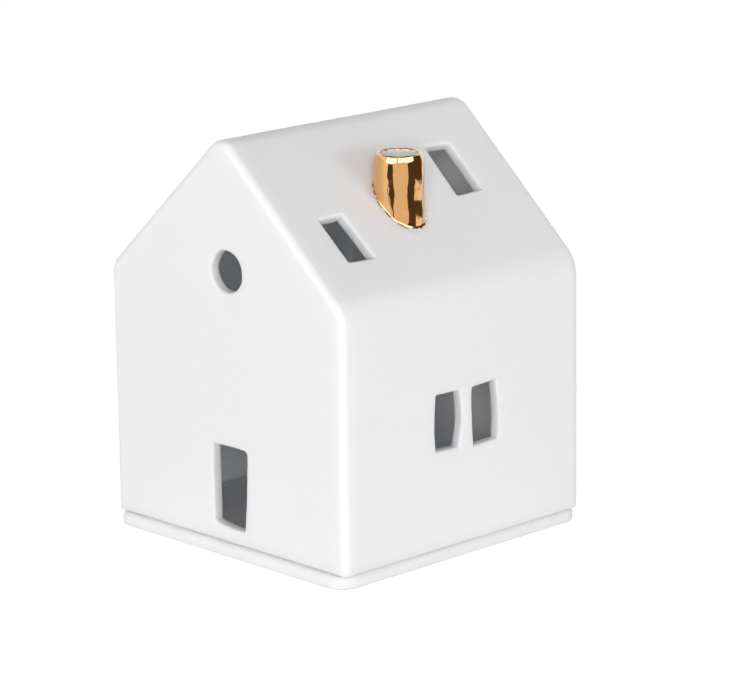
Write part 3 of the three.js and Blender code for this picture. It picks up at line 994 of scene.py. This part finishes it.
def add_softbox(name, softbox, watts):
    """A rectangular lamp that looks at the house. Reflections don't show it, as the cards are there
    for them."""
    data = bpy.data.lights.new(name, "AREA")
    data.shape = "RECTANGLE"
    data.size = softbox.width
    data.size_y = softbox.height
    data.energy = watts
    lamp = bpy.data.objects.new(name, data)
    back = toward(math.radians(softbox.azimuth), math.radians(softbox.elevation))
    lamp.location = LAMP_TARGET + back * LAMP_DISTANCE
    lamp.rotation_mode = "QUATERNION"
    lamp.rotation_quaternion = (-back).to_track_quat("-Z", "Y")
    lamp.visible_camera = lamp.visible_glossy = False
    bpy.context.scene.collection.objects.link(lamp)


def add_card(name, card, material):
    """A card curved round the chimney that only reflections show, as a photographer sets one to draw
    a metal's shape."""
    bm = bmesh.new()
    foot = toward(math.radians(card.start), 0) * card.distance
    ends = [bm.verts.new(foot + Z_AXIS * height) for height in (card.low, card.high)]
    side = bm.edges.new(ends)
    bmesh.ops.spin(
        bm, geom=[*ends, side], axis=Z_AXIS, cent=(0, 0, 0),
        angle=math.radians(card.end - card.start), steps=CARD_STEPS,
    )
    bmesh.ops.translate(bm, vec=(CHIMNEY_AXIS.x, CHIMNEY_AXIS.y, 0), verts=bm.verts)
    made = new_object(name, bm)
    made.data.materials.append(material)
    made.visible_camera = made.visible_diffuse = made.visible_shadow = made.visible_transmission = False


def seen_by_eye(tree):
    """Socket that is 1 for rays from the camera, off a shiny surface and through glass, and else 0."""
    path = add_node(tree, "LightPath", {}, {})
    plain = add_node(
        tree, "Math", {"operation": "MAXIMUM"},
        {0: path.outputs["Is Camera Ray"], 1: path.outputs["Is Glossy Ray"]},
    )
    seen = add_node(
        tree, "Math", {"operation": "MAXIMUM"},
        {0: plain.outputs["Value"], 1: path.outputs["Is Transmission Ray"]},
    )
    return seen.outputs["Value"]


def floor_material():
    """Seamless paper. It gives the eye a white sweep that keeps the object's shadow."""
    material, tree = new_material("white_seamless_paper")
    paper = add_node(tree, "BsdfDiffuse", {}, {"Color": linear("#F6F6F6")})
    veil = add_node(tree, "BsdfDiffuse", {}, {"Color": linear("#999999")})
    glow = add_node(tree, "Emission", {}, {"Color": linear("#FFFFFF"), "Strength": 0.86})
    lit = add_node(tree, "AddShader", {}, {0: veil.outputs["BSDF"], 1: glow.outputs["Emission"]})
    either = add_node(
        tree, "MixShader", {}, {0: seen_by_eye(tree), 1: paper.outputs["BSDF"], 2: lit.outputs["Shader"]}
    )
    add_node(tree, "OutputMaterial", {}, {"Surface": either.outputs["Shader"]})
    return material


def card_material(name, hex_colour, strength):
    """Lit card of an even shade. It gives a polished metal a streak or a field of that shade."""
    material, tree = new_material(name)
    card = add_node(tree, "Emission", {}, {"Color": linear(hex_colour), "Strength": strength})
    add_node(tree, "OutputMaterial", {}, {"Surface": card.outputs["Emission"]})
    return material


def set_world(stage):
    """An even fill, with a white background behind the object and in its reflections."""
    world = bpy.data.worlds.new("studio")
    world.use_nodes = True
    tree = world.node_tree
    tree.nodes.clear()
    strength = add_node(
        tree, "MapRange", {}, {"Value": seen_by_eye(tree), "To Min": stage.fill, "To Max": 1.0}
    )
    light = add_node(
        tree, "Background", {}, {"Color": linear("#FFFFFF"), "Strength": strength.outputs["Result"]}
    )
    add_node(tree, "OutputWorld", {}, {"Surface": light.outputs["Background"]})
    bpy.context.scene.world = world


# Operators


class TEALIGHT_OT_house(bpy.types.Operator):
    """Model the slip-cast house shell with its hand-cut openings"""

    bl_idname = "tealight.house"
    bl_label = "Porcelain House"

    def execute(self, context):
        settings = context.scene.tealight_house
        bm = house_mesh(settings.shell, settings.chimney)
        material = finish_named("slip_cast_bisque_porcelain", bisque_porcelain, settings.finish)
        piece = new_piece("porcelain_house", bm, material, "house", "porcelain", "house_shell")
        even_shading(piece)
        return {"FINISHED"}


class TEALIGHT_OT_chimney(bpy.types.Operator):
    """Model the gilded chimney and the slip that joins it to the roof"""

    bl_idname = "tealight.chimney"
    bl_label = "Gilded Chimney"

    def execute(self, context):
        settings = context.scene.tealight_house
        bm = chimney_mesh(settings.chimney, settings.shell)
        material = finish_named("gold_lustre_over_glaze", gold_lustre, settings.finish)
        new_piece("gilded_chimney", bm, material, "house", "gold_lustre", "chimney")
        return {"FINISHED"}


class TEALIGHT_OT_plate(bpy.types.Operator):
    """Model the plate that the house and the tealight stand on"""

    bl_idname = "tealight.plate"
    bl_label = "Porcelain Plate"

    def execute(self, context):
        settings = context.scene.tealight_house
        bm = plate_mesh(settings.plate)
        material = finish_named("slip_cast_bisque_porcelain", bisque_porcelain, settings.finish)
        piece = new_piece("porcelain_plate", bm, material, "base", "porcelain", "base_plate")
        even_shading(piece)
        return {"FINISHED"}


class TEALIGHT_OT_tealight(bpy.types.Operator):
    """Model the tealight's cup, wax and wick, and give its sustainer a finish"""

    bl_idname = "tealight.candle"
    bl_label = "Tealight"

    def execute(self, context):
        settings = context.scene.tealight_house
        tealight, finish = settings.tealight, settings.finish
        cup = cup_mesh(tealight)
        new_piece("aluminium_cup", cup, pressed_aluminium(finish), "tealight", "aluminium", "tealight_cup")
        wax = wax_mesh(tealight)
        new_piece("paraffin_filling", wax, paraffin_wax(finish), "tealight", "wax", "tealight_wax")
        wick = wick_mesh(tealight)
        new_piece("braided_wick", wick, waxed_cotton(finish), "tealight", "cotton", "tealight_wick")
        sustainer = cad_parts["wick_sustainer"]
        sustainer.material_slots[0].material = tinned_steel(finish)
        return {"FINISHED"}


class TEALIGHT_OT_stage(bpy.types.Operator):
    """Set the camera, the lights and the floor"""

    bl_idname = "tealight.stage"
    bl_label = "Stage"

    def execute(self, context):
        stage = context.scene.tealight_house.stage
        bm = bmesh.new()
        bmesh.ops.create_grid(bm, x_segments=1, y_segments=1, size=FLOOR_HALF_WIDTH)
        bmesh.ops.translate(bm, vec=(0, 0, -FLOOR_GAP), verts=bm.verts)
        floor = new_object("floor", bm)
        floor.data.materials.append(floor_material())
        add_softbox("left_softbox", LEFT_SOFTBOX, stage.left_lamp)
        add_softbox("right_softbox", RIGHT_SOFTBOX, stage.right_lamp)
        add_softbox("front_softbox", FRONT_SOFTBOX, stage.front_lamp)
        shades = {name: card_material(name, *shade) for name, shade in CARD_SHADES.items()}
        for name, card in CARDS.items():
            add_card(name, card, shades[card.shade])
        set_world(stage)
        add_camera(stage)
        context.scene.view_settings.view_transform = "Standard"
        return {"FINISHED"}


def list_settings(layout, settings):
    """Lists a group of settings in the sidebar."""
    for name in settings.bl_rna.properties.keys():
        if name not in ("rna_type", "name"):
            layout.prop(settings, name)


class TEALIGHT_PT_sidebar(bpy.types.Panel):
    """Builds the tealight house piece by piece"""

    bl_label = "Tealight House"
    bl_idname = "TEALIGHT_PT_sidebar"
    bl_space_type = "VIEW_3D"
    bl_region_type = "UI"
    bl_category = "Tealight House"

    def draw(self, context):
        settings = context.scene.tealight_house
        for operator, group in STEPS:
            self.layout.operator(operator.bl_idname)
            list_settings(self.layout, getattr(settings, group))
        self.layout.label(text="Finishes")
        list_settings(self.layout, settings.finish)


STEPS = (
    (TEALIGHT_OT_house, "shell"),
    (TEALIGHT_OT_chimney, "chimney"),
    (TEALIGHT_OT_plate, "plate"),
    (TEALIGHT_OT_tealight, "tealight"),
    (TEALIGHT_OT_stage, "stage"),
)
CLASSES = (
    ShellSizes, ChimneySizes, PlateSizes, TealightSizes, FinishColours, StageSettings, TealightHouse,
    *(operator for operator, _ in STEPS), TEALIGHT_PT_sidebar,
)


def register():
    """Adds the classes and the scene's settings."""
    for cls in CLASSES:
        bpy.utils.register_class(cls)
    bpy.types.Scene.tealight_house = PointerProperty(type=TealightHouse)


def unregister():
    """Takes the classes and the scene's settings away again."""
    del bpy.types.Scene.tealight_house
    for cls in reversed(CLASSES):
        bpy.utils.unregister_class(cls)


def main():
    """Builds every piece and the stage."""
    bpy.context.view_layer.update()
    register()
    bpy.ops.tealight.house()
    bpy.ops.tealight.chimney()
    bpy.ops.tealight.plate()
    bpy.ops.tealight.candle()
    bpy.ops.tealight.stage()


if __name__ == "__main__":
    main()
